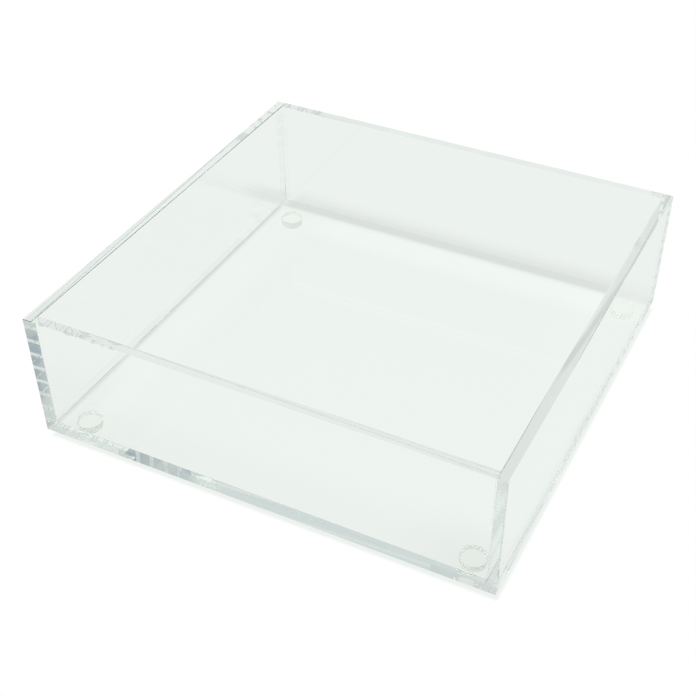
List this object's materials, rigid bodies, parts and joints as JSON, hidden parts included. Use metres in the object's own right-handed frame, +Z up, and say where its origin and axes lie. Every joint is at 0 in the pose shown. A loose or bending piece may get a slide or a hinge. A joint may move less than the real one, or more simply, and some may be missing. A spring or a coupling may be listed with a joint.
{
  "type": "open tray organizer",
  "caption": "Square open-top tray of clear acrylic sheet with low straight walls, welded at square corners, standing on round clear stick-on bumpers.",
  "frame": {"origin": "middle of the footprint, on the surface the bumpers stand on", "axes": "+Z up; +X along the front wall towards the right wall; +Y from the front wall to the back wall"},
  "size_m": [0.1778, 0.1778, 0.0543],
  "materials": {
    "acrylic": "clear cast acrylic, polished faces and edges",
    "urethane": "clear soft urethane, satin",
    "adhesive": "clear pressure-sensitive adhesive"
  },
  "bodies": {
    "root": {"base_plate": "acrylic", "left_wall": "acrylic", "right_wall": "acrylic", "front_wall": "acrylic", "back_wall": "acrylic", "bumper_front_left": "urethane", "bumper_front_right": "urethane", "bumper_back_left": "urethane", "bumper_back_right": "urethane", "adhesive_front_left": "adhesive", "adhesive_front_right": "adhesive", "adhesive_back_left": "adhesive", "adhesive_back_right": "adhesive"}
  },
  "joints": []
}
